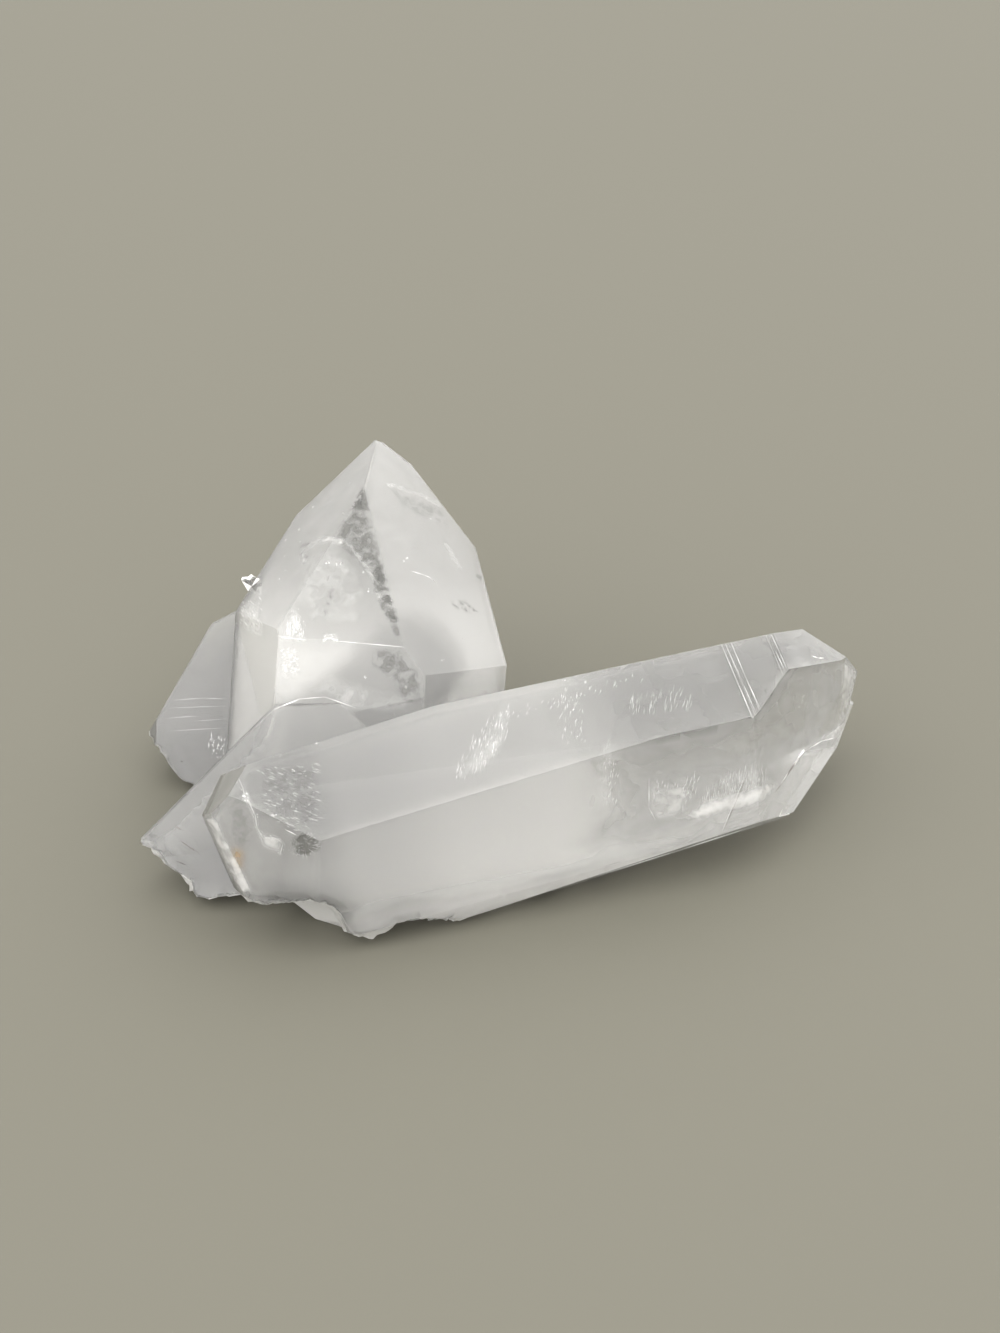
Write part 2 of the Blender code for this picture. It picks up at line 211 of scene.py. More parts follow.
shape = bmesh.new()
shape.from_mesh(cad_stone.data)
bmesh.ops.remove_doubles(shape, verts=shape.verts, dist=SAME_PLACE)
bmesh.ops.dissolve_limit(shape, angle_limit=FLAT_ANGLE, verts=shape.verts, edges=shape.edges)
shape.normal_update()
outside = BVHTree.FromBMesh(shape)


def is_rough(face):
    return max(edge.calc_length() for edge in face.edges) < ROUGH_REACH


print("joined to", len(shape.faces), "faces,", sum(is_rough(face) for face in shape.faces), "of them rough")

# %% Break the rough faces into crumbs
CRUMB_HEIGHT = 0.5 * MM
CRUMB_WIDTH = 1.3 * MM
FINE_HEIGHT, FINE_WIDTH = 0.5, 0.4  # of the finer crumbs, as shares of the coarse ones'
CRUMB_CUTS = 2
RESTING = 0.4 * MM  # what is lower stays flat, because the stone rests on it


def is_crumb(face):
    return is_rough(face) and len(face.verts) == 3


for turn in range(CRUMB_CUTS):
    rough = [edge for edge in shape.edges if all(is_crumb(face) for face in edge.link_faces)]
    bmesh.ops.subdivide_edges(shape, edges=rough, cuts=1, use_grid_fill=True)
    many_sided = [face for face in shape.faces if is_rough(face) and len(face.verts) > 3]
    bmesh.ops.triangulate(shape, faces=many_sided)
shape.normal_update()
moves = []
for vertex in shape.verts:
    if vertex.co.z > RESTING and all(is_rough(face) for face in vertex.link_faces):
        height = noise.noise(vertex.co / CRUMB_WIDTH)
        height += FINE_HEIGHT * noise.noise(vertex.co / (FINE_WIDTH * CRUMB_WIDTH))
        moves.append((vertex, vertex.normal * height * CRUMB_HEIGHT))
for vertex, move in moves:
    vertex.co += move
shape.normal_update()
unworn = shape.copy()
print("moved", len(moves), "points of the breaks")

# %% Tell the broken faces and the narrow ones
BROKEN, WORN = 1, 2  # the finishes' numbers on the stone; clear faces have number 0
ROOT_HEIGHT = 5 * MM  # the small faces lower than this are all broken
ROOT_AREA = 30 * MM * MM
BREAK_TOP = 30 * MM  # no break lies higher
CRUMB_AREA = 6 * MM * MM
NARROW = 0.3 * MM


def is_narrow(face):
    return face.calc_area() / max(edge.calc_length() for edge in face.edges) < NARROW


def is_broken(face):
    height = face.calc_center_median().z
    if height < ROOT_HEIGHT:
        return face.calc_area() < ROOT_AREA
    return height < BREAK_TOP and is_rough(face) and face.calc_area() < CRUMB_AREA


for face in shape.faces:
    face.smooth = False
    if is_broken(face):
        face.material_index = BROKEN
    elif is_narrow(face):
        face.material_index = WORN
print(sum(face.material_index == BROKEN for face in shape.faces), "faces are broken ones")

# %% Rub the long edges
WORN_WIDTH = 0.17 * MM
WORN_STEPS = 2
WORN_ANGLE = math.radians(14)
LYING_TOP = Vector((0.064, -0.373, 0.926))  # the way the lying crystal's upper side faces
LYING_FRONT = Vector((0.28, -0.95, 0.14))  # and the way its front faces
SAME_WAY = 0.985  # the cosine above which two ways count as one
SPLINTER = Vector((-43.9, 18.9, 35.3))  # the small clear crystal behind the upright one
SPLINTER_SIZE = 4.0


def is_fresh(edge):
    """The ridge between the lying crystal's top and front shows no worn strip, nor does the splinter."""
    if (edge.verts[0].co / MM - SPLINTER).length < SPLINTER_SIZE:
        return True
    normals = [face.normal for face in edge.link_faces]
    return all(any(normal.dot(side) > SAME_WAY for normal in normals) for side in (LYING_TOP, LYING_FRONT))


def is_worn(edge):
    """Only the edges that stick out between two large faces are rubbed."""
    if len(edge.link_faces) != 2 or not edge.is_convex or edge.calc_face_angle() <= WORN_ANGLE:
        return False
    return not is_fresh(edge) and not any(is_rough(face) or is_narrow(face) for face in edge.link_faces)


worn = [edge for edge in shape.edges if is_worn(edge)]
rubbing = {"offset": WORN_WIDTH, "segments": WORN_STEPS, "profile": 0.5, "clamp_overlap": True}
bmesh.ops.bevel(shape, geom=worn, affect="EDGES", material=WORN, **rubbing)
print("rubbed", len(worn), "edges")

# %% Make the stone from the mesh
stone_mesh = bpy.data.meshes.new("quartz_stone")
shape.to_mesh(stone_mesh)
shape.free()
stone = new_object("quartz_stone", stone_mesh)
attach(stone, "root")
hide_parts("quartz_cluster")
print("the stone has", len(stone_mesh.polygons), "faces")

# %% [markdown]
# ## Clear quartz
#
# Quartz is colourless and bends light by 1.544. Those are plain numbers on the shader. A trace of grey-green
# absorption keeps thick parts from looking like empty air. Its faces are not perfect mirrors, so roughness
# and a very faint bump come from noise. A break or a rubbed edge is the same quartz with a surface that
# scatters most of the light, so those two finishes are rougher and only a little clear.

# %% A quartz finish
QUARTZ_INDEX = 1.544
QUARTZ_TINT = (0.93, 0.95, 0.93, 1)
QUARTZ_DENSITY = 4.0
WEAR_RANGE = (0.35, 0.75)  # of the noise, from the smoothest spots to the dullest


def new_material(name):
    material = bpy.data.materials.new(name)
    material.use_nodes = True
    tree = material.node_tree
    return material, tree, tree.nodes["Principled BSDF"]


def speckles(tree, grain, detail, **more):
    """A noise that stays fixed to the stone."""
    place = add(tree, "ShaderNodeTexCoord").outputs["Object"]
    inputs = {"Vector": place, "Scale": grain, "Detail": detail, **more}
    return add(tree, "ShaderNodeTexNoise", inputs).outputs["Fac"]


def quartz_finish(name, colour, grain, dull, bump, bump_detail=4, clearness=1.0):
    """Quartz whose roughness and bump, its strength and height, come from one grain of noise."""
    material, tree, shader = new_material(name)
    shader.inputs["Base Color"].default_value = colour
    shader.inputs["IOR"].default_value = QUARTZ_INDEX
    shader.inputs["Transmission Weight"].default_value = clearness
    wear = speckles(tree, grain, 5, Roughness=0.6)
    tree.links.new(spread(tree, wear, *WEAR_RANGE, *dull), shader.inputs["Roughness"])
    swell = speckles(tree, grain, bump_detail, Roughness=0.6)
    relief = {"Height": swell, "Strength": bump[0], "Distance": bump[1] * MM}
    tree.links.new(add(tree, "ShaderNodeBump", relief).outputs["Normal"], shader.inputs["Normal"])
    absorb = add(tree, "ShaderNodeVolumeAbsorption", {"Color": QUARTZ_TINT, "Density": QUARTZ_DENSITY})
    tree.links.new(absorb.outputs["Volume"], tree.nodes["Material Output"].inputs["Volume"])
    stone_mesh.materials.append(material)


CLEAR_COLOUR = (0.99, 0.99, 0.985, 1)
BROKEN_COLOUR = (0.47, 0.465, 0.45, 1)
WORN_COLOUR = (0.99, 0.99, 0.98, 1)
quartz_finish("clear_quartz", CLEAR_COLOUR, grain=60, dull=(0.02, 0.08), bump=(0.02, 0.3), bump_detail=0)
quartz_finish("broken_quartz", BROKEN_COLOUR, grain=900, dull=(0.3, 0.6), bump=(0.3, 0.4), clearness=0.25)
quartz_finish("worn_quartz", WORN_COLOUR, grain=1500, dull=(0.45, 0.7), bump=(0.3, 0.3), clearness=0.15)
print("the stone's finishes:", [material.name for material in stone_mesh.materials])

# %% [markdown]
# ## Milky clouds
#
# Milky quartz is clear quartz full of tiny bubbles. A scattering volume would be the obvious way, but it
# renders slowly and no exchange format keeps it. Here thin skins run inside the stone at several depths
# instead, each one partly see-through. Where the stone is milky the skins close up and look like solid white,
# and towards the clear parts they thin out into wisps, with real depth between them.

# %% Looking into the stone
PIXELS = LENS / SENSOR * PHOTO_SIZE[1]  # of the photograph to a metre, seen from a metre away
camera_turn = Matrix.Rotation(math.pi / 2 - RISE, 3, "X")


def look(across, down, way=0.0):
    """The place seen at a pixel of the photograph, some millimetres along the bent ray inside the stone."""
    ray = Vector(((across - PHOTO_SIZE[0] / 2) / PIXELS, (PHOTO_SIZE[1] / 2 - down) / PIXELS, -1))
    ray = (camera_turn @ ray).normalized()
    place, normal, _, _ = outside.ray_cast(camera.location, ray)
    if place is None:
        return None
    turned = -normal.dot(ray)
    share = 1 / QUARTZ_INDEX
    bent = share * ray + (share * turned - math.sqrt(1 - share**2 * (1 - turned**2))) * normal
    return place + way * MM * bent


FRONT_PIXEL = (500, 760)
print("a pixel of the front shows the place", [round(value / MM, 1) for value in look(*FRONT_PIXEL)], "mm")

# %% Which crystal a point belongs to
# Each crystal: a point on its axis, the axis, and how thick it is
CRYSTALS = {
    "upright": ((-24.8, -1.9, 0.0), (0.076, 0.419, 0.905), 20.0),
    "lying": ((-0.5, -13.2, 15.2), (0.955, 0.292, 0.052), 17.0),
    "leaner": ((-51.0, -23.1, 3.0), (0.708, 0.392, 0.588), 9.0),
    "back": ((-50.5, 11.9, 0.0), (0.071, 0.401, 0.914), 11.0),
}
REACH = 1.5  # a crystal's share of a point ends this many thicknesses from its axis
NO_SHARE = 0.001
LYING_CEILING = (36, 31)  # the lying crystal's share fades between these heights
SOFT_BORDER, SHARP_BORDER = 5, 12  # how sharply one crystal ends at the next, for the milk and for its colour


def soft_step(start, full, value):
    """0 at the start, 1 where it is full, with soft ends."""
    share = np.clip((value - start) / (full - start), 0, 1)
    return share * share * (3 - 2 * share)


def along_and_off(points, name):
    """How far points lie along a crystal's axis and away from it."""
    start, axis, _ = CRYSTALS[name]
    way = points - np.array(start)
    axis = np.array(axis) / np.linalg.norm(axis)
    along = way @ axis
    return along, np.linalg.norm(way - np.outer(along, axis), axis=1)


def belongs(points, sharpness):
    """How much each point belongs to each crystal; the shares add up to 1."""
    share = {}
    for name, (_, _, thickness) in CRYSTALS.items():
        _, off = along_and_off(points, name)
        share[name] = np.clip(REACH - off / thickness, NO_SHARE, 1) ** sharpness
    share["lying"] *= soft_step(*LYING_CEILING, points[:, 2])
    total = sum(share.values())
    return {name: part / total for name, part in share.items()}


# %% What the milk depends on
UPRIGHT_RIGHT = Vector((0.81, -0.55, 0.19))
RIM_HEIGHT = 3.0  # how high the white lower edge of the lying crystal reaches
RIM_START, RIM_RUN = 5, 9.0  # it rises by 1 in RIM_RUN, from RIM_START before the middle


def lying_measures(points):
    """Along the lying crystal, up from its axis, up from its white lower edge, and up from the floor."""
    along, _ = along_and_off(points, "lying")
    above = (points - np.array(CRYSTALS["lying"][0])) @ LYING_TOP
    over_rim = points[:, 2] - RIM_HEIGHT - (along + RIM_START) / RIM_RUN
    return {"along": along, "above": above, "over_rim": over_rim, "height": points[:, 2]}


def upright_measures(points):
    along, _ = along_and_off(points, "upright")
    return {"along": along, "right": (points - np.array(CRYSTALS["upright"][0])) @ UPRIGHT_RIGHT}


def blend(table, measures):
    """A table's base value, plus the amount of each rule as far as the rule's measures bring it in."""
    total, *rules = table
    for amount, *measured in rules:
        for name, start, full in measured:
            amount = amount * soft_step(start, full, measures[name])
        total = total + amount
    return total


# %% Where the stone is milky
# Each table: a base value, then rules, each an amount and the measures that bring it in, from start to full
LYING_WHITE = (0.0, (1.0, ("along", 24, 4)), (0.8, ("over_rim", 8, 1), ("along", 60, 30)))
LYING_HAZE = (0.4, (0.37, ("above", 13, 16), ("along", 75, 40)))
LYING_END = (0.8, (0.2, ("along", -38, -27)))
UPRIGHT_WHITE = (0.88, (0.12, ("right", 4, 14)), (-0.06, ("along", 34, 55)), (0.15, ("along", 38, 26)))
SPLINTER_WHITE = (1.0, (-0.75, ("away", 3.5, 2)))
LEANER_WHITE, BACK_WHITE = 0.92, 0.85
CLOUD_EDGE = 7.0  # how far the edge of the milk wanders
CLOUD_WAVE = 9.0  # and over what distance


def lying_milk(points):
    """White on the left, with a hazy upper side and a white lower edge that runs on towards the tip."""
    measures = lying_measures(points)
    wander = np.array([noise.noise(Vector(point) / CLOUD_WAVE) for point in points])
    measures["along"] = measures["along"] + CLOUD_EDGE * wander
    white = np.minimum(blend(LYING_WHITE, measures), 1)
    return np.maximum(white, blend(LYING_HAZE, measures)) * blend(LYING_END, measures)


def cloudiness(points):
    """From 0, clear, to 1, white, at points in millimetres."""
    share = belongs(points, SOFT_BORDER)
    milk = share["upright"] * blend(UPRIGHT_WHITE, upright_measures(points))
    milk += share["lying"] * lying_milk(points)
    milk += share["leaner"] * LEANER_WHITE + share["back"] * BACK_WHITE
    milk *= blend(SPLINTER_WHITE, {"away": np.linalg.norm(points - np.array(SPLINTER), axis=1)})
    return np.clip(milk, 0, 1)


# %% How pale the milk is: its own grey tone, and painted shade on the faces that catch the most light
# The milk under the three faces below is painted darker: painted shade where the light falls strongest
UPRIGHT_FACE = Vector((-0.03, -0.45, 0.89))  # the large sloping face that looks at the camera
UPRIGHT_BRIGHT = Vector((0.68, -0.18, 0.71))  # and the brightest one, at its right
TIP_TOP = Vector((0.64, -0.11, 0.76))  # the upper face of the lying crystal's tip
# Painted shade darkens the lying crystal's upper side, its tip and its higher parts; the rules along it grey
# the cloud in places
LYING_TONE_AND_SHADE = (
    1.0,
    (-0.23, ("up", 0.5, 0.9)),
    (-0.05, ("above", 7, 15)),
    (-0.22, ("along", 8, 24), ("over_rim", 1, 8)),
    (-0.08, ("along", -10, -24)),
    (-0.12, ("along", -28, -34)),
    (-0.19, ("tip", 0.85, 0.97)),
    (-0.04, ("height", 12, 19)),
)
# Painted shade darkens the sloping front face and the upper part of the brightest face; the rule along it
# greys the cloud towards the point
UPRIGHT_TONE_AND_SHADE = (
    1.0,
    (-0.19, ("along", 30, 44)),
    (-0.14, ("face", 0.8, 0.95)),
    (-0.06, ("bright", 0.85, 0.97), ("along", 40, 30)),
)
# The leaner's and the back crystal's milk is one even grey, set lower partly as painted shade
LEANER_TONE_AND_SHADE, BACK_TONE_AND_SHADE = 0.64, 0.63


def tone_and_painted_shade(points, normals):
    """1 for white milk, lower for a greyer cloud and for painted shade on the faces that catch the most
    light.
    """
    share = belongs(points, SHARP_BORDER)
    lying = {**lying_measures(points), "up": normals @ LYING_TOP, "tip": normals @ TIP_TOP}
    upright = {**upright_measures(points), "face": normals @ UPRIGHT_FACE, "bright": normals @ UPRIGHT_BRIGHT}
    tone_and_shade = share["upright"] * blend(UPRIGHT_TONE_AND_SHADE, upright) + share["lying"] * blend(LYING_TONE_AND_SHADE, lying)
    return tone_and_shade + share["leaner"] * LEANER_TONE_AND_SHADE + share["back"] * BACK_TONE_AND_SHADE


# %% The first skin's mesh
NEAR_DEPTH = 0.26
NEAR_CELL = 2.0
MOST_PUSH = 2.0  # at a sharp corner a point moves at most this many depths
ON_PLANE = 1e-7  # metres within which a point already lies on a cut


def cut_in_cells(shape, axis):
    """Cuts the large faces at even steps along one axis, sweeping from its start to its end."""
    spot, way = Vector(), Vector()
    spot[axis], way[axis] = cad_box[0][axis], 1
    ahead = [face for face in shape.faces if face.calc_area() > (NEAR_CELL * MM) ** 2 / 2]
    while spot[axis] < cad_box[1][axis]:
        spot[axis] += NEAR_CELL * MM
        still_ahead, crossing = [], []
        for face in ahead:
            reach = [vertex.co[axis] for vertex in face.verts]
            if max(reach) > spot[axis]:
                (crossing if min(reach) < spot[axis] else still_ahead).append(face)
        held = {part for face in crossing for part in (*face.verts, *face.edges, face)}
        cut = bmesh.ops.bisect_plane(shape, geom=list(held), dist=ON_PLANE, plane_co=spot, plane_no=way)
        ahead = still_ahead + [part for part in cut["geom"] if isinstance(part, bmesh.types.BMFace)]


def near_skin(name):
    """The first skin keeps the stone's sharp edges: its flat faces pushed in, and cut in cells for wisps."""
    for axis in range(3):
        cut_in_cells(unworn, axis)
    unworn.normal_update()
    for vertex in unworn.verts:
        vertex.co -= vertex.normal * min(vertex.calc_shell_factor(), MOST_PUSH) * NEAR_DEPTH * MM
    mesh = bpy.data.meshes.new(name)
    unworn.to_mesh(mesh)
    unworn.free()
    return mesh


# %% The deeper skins' meshes
# Each one: its depth, how much of the milk it carries, and how fine its mesh is
SKINS = ((1.6, 0.6, 0.9), (4.0, 0.85, 1.1))
HALF_FULL = 0.5  # the surface runs where the fog is half full


def deep_skin(name, depth, cell):
    """The surface that runs at one depth inside the stone, as even small faces."""
    fog = new_object(name + "_fog", bpy.data.volumes.new(name + "_fog"))
    fill = fog.modifiers.new("fill", "MESH_TO_VOLUME")
    fill.object = stone
    fill.resolution_mode = "VOXEL_SIZE"
    fill.voxel_size = cell * MM
    fill.interior_band_width = 2 * depth * MM
    draft = new_object(name + "_draft", bpy.data.meshes.new(name + "_draft"))
    wrap = draft.modifiers.new("wrap", "VOLUME_TO_MESH")
    wrap.object = fog
    wrap.threshold = HALF_FULL
    view = bpy.context.evaluated_depsgraph_get()
    mesh = bpy.data.meshes.new_from_object(draft.evaluated_get(view), depsgraph=view)
    bpy.data.objects.remove(draft)
    bpy.data.objects.remove(fog)
    mesh.name = name
    return mesh


# %% Put the milk in a skin
FAINT = 0.03  # a face with less milk than this is taken out
SOFT = 0.5  # and one softer than this is shaded smooth


def corners_of(mesh, kind):
    values = np.empty(3 * len(mesh.vertices))
    mesh.vertices.foreach_get(kind, values)
    return values.reshape(-1, 3)


def store(mesh, name, values):
    layer = mesh.attributes.new(name, "FLOAT", "POINT")
    layer.data.foreach_set("value", np.asarray(values, np.float32))


def cloud(mesh, share, soft):
    """Stores the milk in a skin, takes out its clear faces, softens its ridges and makes an object of it."""
    places, normals = corners_of(mesh, "co") / MM, corners_of(mesh, "normal")
    milk = cloudiness(places)
    soft = np.full(len(milk), soft)
    store(mesh, "milk", milk)
    store(mesh, "tone_and_shade", tone_and_painted_shade(places, normals))
    store(mesh, "share", np.full(len(milk), share))
    layered = bmesh.new()
    layered.from_mesh(mesh)
    clear = [face for face in layered.faces if all(milk[vertex.index] < FAINT for vertex in face.verts)]
    bmesh.ops.delete(layered, geom=clear, context="FACES")
    for face in layered.faces:
        face.smooth = all(soft[vertex.index] > SOFT for vertex in face.verts)
    layered.to_mesh(mesh)
    layered.free()
    print(mesh.name, "has", len(mesh.polygons), "faces")
    return new_object(mesh.name, mesh)


# %% Three skins, from the outside in
NEAR_SHARE = 0.5  # how much of the milk the first skin carries
SMOOTH_PART = (20, 5)  # along the lying crystal: left of here its milk shows no ridge
SMOOTH_LESS = 0.6  # and the first skin carries this much less of it
LOW_RIMS = (10, 3)  # the heights between which the milk comes right up to the stone's lowest rims
LOW_MORE = 0.4

near = near_skin("milk_skin_1")
places = corners_of(near, "co") / MM
blur = belongs(places, SOFT_BORDER)["lying"] * soft_step(*SMOOTH_PART, lying_measures(places)["along"])
low = soft_step(*LOW_RIMS, places[:, 2])
skins = [cloud(near, NEAR_SHARE * (1 - SMOOTH_LESS * blur * (1 - low)) + LOW_MORE * low, blur)]
for number, (depth, share, cell) in enumerate(SKINS):
    skins.append(cloud(deep_skin(f"milk_skin_{number + 2}", depth, cell), share, 1.0))

# %% Milk
MILK_COLOUR = (0.995, 0.992, 0.985, 1)
THROUGH = 0.6  # the share of the light that goes on instead of back
NOISE_MIDDLE = (0.3, 0.7)  # most of a noise lies between these


def stored(tree, name):
    """What a skin or a veil holds under a name."""
    return add(tree, "ShaderNodeAttribute", attribute_name=name).outputs["Fac"]


def torn(tree, milk, grain, wispiness):
    """The milk torn into wisps, most of all where it is half clear."""
    wisps = speckles(tree, grain, 3, Roughness=0.5, Distortion=0.5)
    wisps = spread(tree, wisps, *NOISE_MIDDLE, -wispiness, wispiness)
    edge = figure(tree, "MULTIPLY", milk, figure(tree, "SUBTRACT", 1.0, milk))
    return figure(tree, "ADD", milk, figure(tree, "MULTIPLY", edge, wisps), use_clamp=True)


def milk_finish(name, colour, grain, wispiness, through=THROUGH):
    """A tint that lets light through both ways, with holes where the milk is thin."""
    material, tree, shader = new_material(name)
    tree.nodes.remove(shader)
    # The milk's colour is scaled by the stored grey tone and painted shade
    shade = {0: colour[:3], "Scale": stored(tree, "tone_and_shade")}
    tint = add(tree, "ShaderNodeVectorMath", shade, operation="SCALE").outputs["Vector"]
    front = add(tree, "ShaderNodeBsdfDiffuse", {"Color": tint}).outputs["BSDF"]
    back = add(tree, "ShaderNodeBsdfTranslucent", {"Color": tint}).outputs["BSDF"]
    body = add(tree, "ShaderNodeMixShader", {0: through, 1: front, 2: back}).outputs["Shader"]
    gap = add(tree, "ShaderNodeBsdfTransparent").outputs["BSDF"]
    milk = torn(tree, stored(tree, "milk"), grain, wispiness)
    alpha = figure(tree, "MULTIPLY", milk, stored(tree, "share"))
    mixed = add(tree, "ShaderNodeMixShader", {0: alpha, 1: gap, 2: body}).outputs["Shader"]
    tree.links.new(mixed, tree.nodes["Material Output"].inputs["Surface"])
    return material


milk_paint = milk_finish("quartz_milk", MILK_COLOUR, grain=110, wispiness=0.7)
for skin in skins:
    skin.data.materials.append(milk_paint)
    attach(skin, "root")
print("the milk lies on", len(skins), "skins")

# %% [markdown]
# ## Veils
#
# Two kinds of sheet hang inside the crystals. White veils are mostly healed cracks full of bubbles, and two
# of them are painted highlights on narrow faces. Grey ones are painted shade: clear gaps in the milk, where
# the eye looks past the white into the darker depth of the stone; a hole in the milk skins would show the
# milk on the far side, so a thin grey sheet stands for the depth. A spot of iron stain is a sheet too. Each
# sheet follows the face that it lies under, and thins out towards its rim.


# %% Outlines
def inside_outline(across, down, outline):
    """Whether a pixel lies inside a closed outline of pixels."""
    crossed = False
    for (x0, y0), (x1, y1) in zip(outline, outline[1:] + outline[:1]):
        if (y0 > down) != (y1 > down) and across < x0 + (down - y0) * (x1 - x0) / (y1 - y0):
            crossed = not crossed
    return crossed


def from_rim(across, down, outline):
    """How far a pixel lies from an outline's rim."""
    point = Vector((across, down))
    gaps = []
    for first, last in zip(outline, outline[1:] + outline[:1]):
        first, last = Vector(first), Vector(last)
        way = last - first
        share = max(0.0, min(1.0, (point - first).dot(way) / way.length_squared))
        gaps.append((point - first - share * way).length)
    return min(gaps)


def band(points, width):
    """The outline of a strip along a line of pixels."""
    sides = ([], [])
    for number, (across, down) in enumerate(points):
        before, after = points[max(number - 1, 0)], points[min(number + 1, len(points) - 1)]
        way = (Vector(after) - Vector(before)).normalized() * width / 2
        sides[0].append((across - way.y, down + way.x))
        sides[1].append((across + way.y, down - way.x))
    return tuple(sides[0] + sides[1][::-1])


def finish_piece(shape, name, material):
    """Makes one named piece of the stone from a finished shape."""
    bmesh.ops.recalc_face_normals(shape, faces=shape.faces)
    mesh = bpy.data.meshes.new(name)
    shape.to_mesh(mesh)
    shape.free()
    mesh.materials.append(material)
    piece = new_object(name, mesh)
    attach(piece, "root")
    print(name, "has", len(mesh.polygons), "faces")


# %% Sheets under the faces
SHEET_CELL = 2.5  # pixels of the photograph
LONGEST_CELL = 2.0 * MM  # a longer cell would bridge two faces


def sheet(shape, strengths, outline, strength, feather, way):
    """One veil: a net over the outline, with its strength at each knot."""
    xs, ys = zip(*outline)
    columns = range(int((max(xs) - min(xs)) / SHEET_CELL) + 2)
    rows = range(int((max(ys) - min(ys)) / SHEET_CELL) + 2)
    knots = {}
    for column in columns:
        for row in rows:
            spot = (min(xs) + column * SHEET_CELL, min(ys) + row * SHEET_CELL)
            place = look(*spot, way)
            if place is not None:
                knots[column, row] = shape.verts.new(place)
                held = inside_outline(*spot, outline) * min(1.0, from_rim(*spot, outline) / feather)
                strengths.append(strength * held)
    shape.verts.index_update()
    for column in columns:
        for row in rows:
            cell = [knots.get((column + x, row + y)) for x, y in ((0, 0), (1, 0), (1, 1), (0, 1))]
            if None not in cell:
                reach = max((cell[number].co - cell[number - 1].co).length for number in range(4))
                if reach < LONGEST_CELL and max(strengths[knot.index] for knot in cell) > 0:
                    shape.faces.new(cell).smooth = True


def veils(name, sheets, material):
    """One piece of all the veils of a kind."""
    shape = bmesh.new()
    strengths = []
    for outline, strength, feather, way in sheets:
        sheet(shape, strengths, outline, strength, feather, way)
    milk, share, tone_and_shade = (shape.verts.layers.float.new(layer) for layer in ("milk", "share", "tone_and_shade"))
    shape.verts.ensure_lookup_table()
    for vertex, strength in zip(shape.verts, strengths):
        vertex[milk] = strength
        vertex[share] = vertex[tone_and_shade] = 1.0
    loose = [vertex for vertex in shape.verts if not vertex.link_faces]
    bmesh.ops.delete(shape, geom=loose, context="VERTS")
    finish_piece(shape, name, material)


# %% White veils
# Each veil: its outline in the photograph, how strong, how wide its soft rim is in pixels, and how deep
WHITE_VEILS = (
    (((280, 642), (283, 622), (289, 608), (296, 606), (302, 614), (307, 641)), 0.35, 8, 0.2),
    (((319, 643), (324, 633), (338, 631), (341, 644)), 0.4, 5, 0.25),
    (((276, 650), (298, 647), (303, 675), (280, 682)), 0.25, 8, 0.25),
    (((238, 600), (262, 598), (266, 640), (242, 632)), 0.3, 8, 0.25),
    (((330, 672), (420, 700), (415, 716), (340, 714), (310, 690)), 0.25, 14, 0.25),
    # a painted highlight: the bright narrow face at the left end of the lying crystal
    (((205, 819), (215, 815), (228, 843), (241, 868), (253, 893), (243, 894), (232, 877), (219, 849)),
     0.5, 2, 0.05),
    # the white band, the block beside it and the milk's edge on the lying crystal's front
    (((684, 816), (700, 802), (714, 796), (738, 790), (776, 778), (780, 788), (764, 803), (735, 813),
      (700, 822)), 0.8, 9, 0.2),
    (((649, 780), (692, 784), (692, 802), (682, 816), (657, 821), (649, 808)), 0.3, 8, 0.2),
    (((603, 742), (614, 740), (616, 806), (604, 814), (590, 780)), 0.2, 8, 0.2),
    # a painted highlight on the strip at the right of its tip, and the streaky patch on its upper side
    (((842, 661), (857, 670), (857, 678), (846, 712), (835, 739), (828, 739), (841, 712)), 0.5, 2.5, 0.15),
    (((455, 780), (474, 745), (500, 705), (511, 712), (506, 745), (482, 774)), 0.2, 8, 0.2),
    # the crack at its left end
    (((238, 778), (246, 785), (253, 802), (260, 828), (283, 838), (283, 856), (262, 846), (250, 815)),
     0.4, 5, 0.25),
    # the arch in the upright crystal, and the haze under it
    (band(((302, 564), (305, 551), (314, 542), (328, 539), (344, 542)), 8), 0.45, 3, 0.2),
    (band(((343, 541), (354, 550), (367, 568), (376, 582), (380, 600)), 3.5), 0.4, 1.5, 0.25),
    (((300, 568), (310, 551), (326, 545), (342, 549), (356, 566), (366, 590), (360, 625), (310, 625),
      (296, 600)), 0.15, 10, 0.25),
    # two lines on its brightest face
    (band(((445, 543), (452, 555), (461, 570)), 4), 0.3, 1.5, 0.25),
    (band(((387, 484), (405, 489), (425, 497), (441, 506)), 2.2), 0.5, 1, 0.2),
)
VEIL_THROUGH = 0.2
veil_paint = milk_finish("veil_milk", MILK_COLOUR, grain=500, wispiness=0.8, through=VEIL_THROUGH)
veils("white_veils", WHITE_VEILS, veil_paint)

